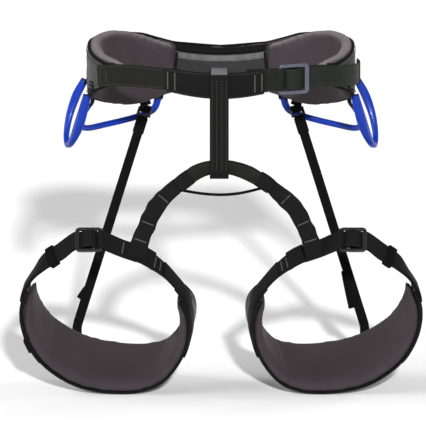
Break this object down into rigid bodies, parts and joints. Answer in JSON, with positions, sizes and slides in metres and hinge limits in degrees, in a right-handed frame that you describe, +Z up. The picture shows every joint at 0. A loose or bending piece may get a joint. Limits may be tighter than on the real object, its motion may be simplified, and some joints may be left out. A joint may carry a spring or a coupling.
{
  "type": "climbing harness",
  "caption": "Sit harness for rock climbing: padded waist belt with a buckle, belay loop, sleeved leg bridge, adjustable padded leg loops, elastic risers and moulded gear loops.",
  "frame": {"origin": "centre of the waist opening, half way up the waist webbing", "axes": "+X to the wearer's left, +Y to the wearer's back, +Z up"},
  "size_m": [0.438, 0.2537, 0.3929],
  "materials": {
    "lining": "brushed foam lining",
    "shell_fabric": "woven ripstop shell",
    "pale_mesh": "open mesh",
    "dark_mesh": "open mesh",
    "pale_binding": "woven tape",
    "thread": "bonded thread",
    "waist_webbing": "ribbed webbing",
    "tie_in_webbing": "tight woven webbing",
    "black_webbing": "woven webbing",
    "elastic": "elastic webbing",
    "blue_grey_alloy": "anodised, satin",
    "black_alloy": "black, satin",
    "bright_steel": "brushed",
    "blue_plastic": "moulded, glossy",
    "black_plastic": "moulded, matt"
  },
  "bodies": {
    "waist": {"waist_pad_left": "lining", "waist_pad_right": "lining", "back_panel": "shell_fabric", "back_mesh_stripe": "pale_mesh", "back_lower_lining": "dark_mesh", "waist_core_webbing": "black_webbing", "waist_shell": "shell_fabric", "front_webbing_left": "waist_webbing", "front_webbing_right": "waist_webbing", "tie_in_strap": "tie_in_webbing", "waist_bar_tacks": "thread", "waist_adjusting_strap": "waist_webbing", "waist_strap_keeper": "elastic", "riser_tab_left": "black_webbing", "riser_tab_right": "black_webbing", "riser_hook_left": "black_plastic", "riser_hook_right": "black_plastic", "riser_upper_left": "elastic", "riser_upper_right": "elastic", "gear_loop_tabs_front_left": "black_webbing", "gear_loop_tabs_front_right": "black_webbing", "gear_loop_tabs_rear_left": "black_webbing", "gear_loop_tabs_rear_right": "black_webbing"},
    "middle": {"belay_loop": "black_webbing", "belay_loop_guard": "pale_binding", "bridge_webbing": "black_webbing", "bridge_sleeve": "black_webbing", "bridge_arm_left": "black_webbing", "bridge_arm_right": "black_webbing", "bridge_elastic": "elastic"},
    "leg_left": {"leg_pad_left": "lining", "leg_shell_left": "shell_fabric", "leg_core_webbing_left": "black_webbing", "leg_front_webbing_left": "black_webbing", "leg_adjusting_strap_left": "black_webbing", "leg_strap_keeper_left": "elastic", "riser_lower_left": "elastic"},
    "leg_right": {"leg_pad_right": "lining", "leg_shell_right": "shell_fabric", "leg_core_webbing_right": "black_webbing", "leg_front_webbing_right": "black_webbing", "leg_adjusting_strap_right": "black_webbing", "leg_strap_keeper_right": "elastic", "riser_lower_right": "elastic"},
    "waist_buckle_frame": {"waist_buckle_frame": "blue_grey_alloy"},
    "waist_buckle_slider": {"waist_buckle_slider": "blue_grey_alloy"},
    "leg_buckle_frame_left": {"leg_buckle_frame_left": "black_alloy"},
    "leg_buckle_slider_left": {"leg_buckle_slider_left": "bright_steel"},
    "gear_loop_front_left": {"gear_loop_front_left": "blue_plastic"},
    "gear_loop_rear_left": {"gear_loop_rear_left": "blue_plastic"},
    "leg_buckle_frame_right": {"leg_buckle_frame_right": "black_alloy"},
    "leg_buckle_slider_right": {"leg_buckle_slider_right": "bright_steel"},
    "gear_loop_front_right": {"gear_loop_front_right": "blue_plastic"},
    "gear_loop_rear_right": {"gear_loop_rear_right": "blue_plastic"},
    "haul_loop": {"haul_loop": "black_webbing"}
  },
  "joints": [
    {"name": "belay_swing", "type": "hinge", "parent": "waist", "child": "middle", "pos_m": [-0.002, -0.1169, 0.011], "axis": [-1, 0, 0], "range_deg": [-8, 25], "stiffness_Nm_per_rad": 2, "springref_deg": -5.35, "deforming": ["tie_in_strap", "riser_upper_left", "riser_lower_left", "riser_upper_right", "riser_lower_right"]},
    {"name": "leg_right_swing", "type": "hinge", "parent": "middle", "child": "leg_right", "pos_m": [-0.0915, -0.10711, -0.182], "axis": [-1, 0, 0], "range_deg": [-20, 30], "stiffness_Nm_per_rad": 1, "springref_deg": -4.73, "deforming": ["bridge_arm_right", "riser_lower_right"]},
    {"name": "leg_left_swing", "type": "hinge", "parent": "middle", "child": "leg_left", "pos_m": [0.101, -0.10711, -0.182], "axis": [-1, 0, 0], "range_deg": [-20, 30], "stiffness_Nm_per_rad": 1, "springref_deg": -4.73, "deforming": ["bridge_arm_left", "riser_lower_left"]},
    {"name": "gear_loop_front_right_lift", "type": "hinge", "parent": "waist", "child": "gear_loop_front_right", "pos_m": [-0.14795, 0.02601, -0.029], "axis": [-0.0461, 0.9977, 0.0496], "range_deg": [0, 60]},
    {"name": "gear_loop_rear_right_lift", "type": "hinge", "parent": "waist", "child": "gear_loop_rear_right", "pos_m": [-0.06911, 0.10567, -0.067], "axis": [0.7342, 0.6755, -0.0683], "range_deg": [0, 60]},
    {"name": "gear_loop_front_left_lift", "type": "hinge", "parent": "waist", "child": "gear_loop_front_left", "pos_m": [0.14795, 0.02601, -0.029], "axis": [-0.0461, -0.9977, -0.0496], "range_deg": [0, 60]},
    {"name": "gear_loop_rear_left_lift", "type": "hinge", "parent": "waist", "child": "gear_loop_rear_left", "pos_m": [0.06911, 0.10567, -0.067], "axis": [0.7342, -0.6755, 0.0683], "range_deg": [0, 60]},
    {"name": "haul_loop_lift", "type": "hinge", "parent": "waist", "child": "haul_loop", "pos_m": [-0.002, 0.1145, -0.026], "axis": [1, 0, 0], "range_deg": [0, 70]},
    {"name": "waist_buckle_tilt", "type": "hinge", "parent": "waist", "child": "waist_buckle_frame", "pos_m": [0.06337, -0.10884, 0.0015], "axis": [0, 0, -1], "range_deg": [0, 15]},
    {"name": "waist_buckle_slide", "type": "slide", "parent": "waist", "child": "waist_buckle_slider", "axis": [0.9582, 0.2862, 0], "range_m": [0, 0.0035]},
    {"name": "leg_buckle_right_tilt", "type": "hinge", "parent": "leg_right", "child": "leg_buckle_frame_right", "pos_m": [-0.12935, -0.10201, -0.17741], "axis": [0, 0.6, 0.8], "range_deg": [0, 15]},
    {"name": "leg_buckle_right_slide", "type": "slide", "parent": "leg_right", "child": "leg_buckle_slider_right", "axis": [-1, 0, 0], "range_m": [0, 0.003]},
    {"name": "leg_buckle_left_tilt", "type": "hinge", "parent": "leg_left", "child": "leg_buckle_frame_left", "pos_m": [0.12935, -0.10201, -0.17741], "axis": [0, -0.6, -0.8], "range_deg": [0, 15]},
    {"name": "leg_buckle_left_slide", "type": "slide", "parent": "leg_left", "child": "leg_buckle_slider_left", "axis": [1, 0, 0], "range_m": [0, 0.003]}
  ]
}
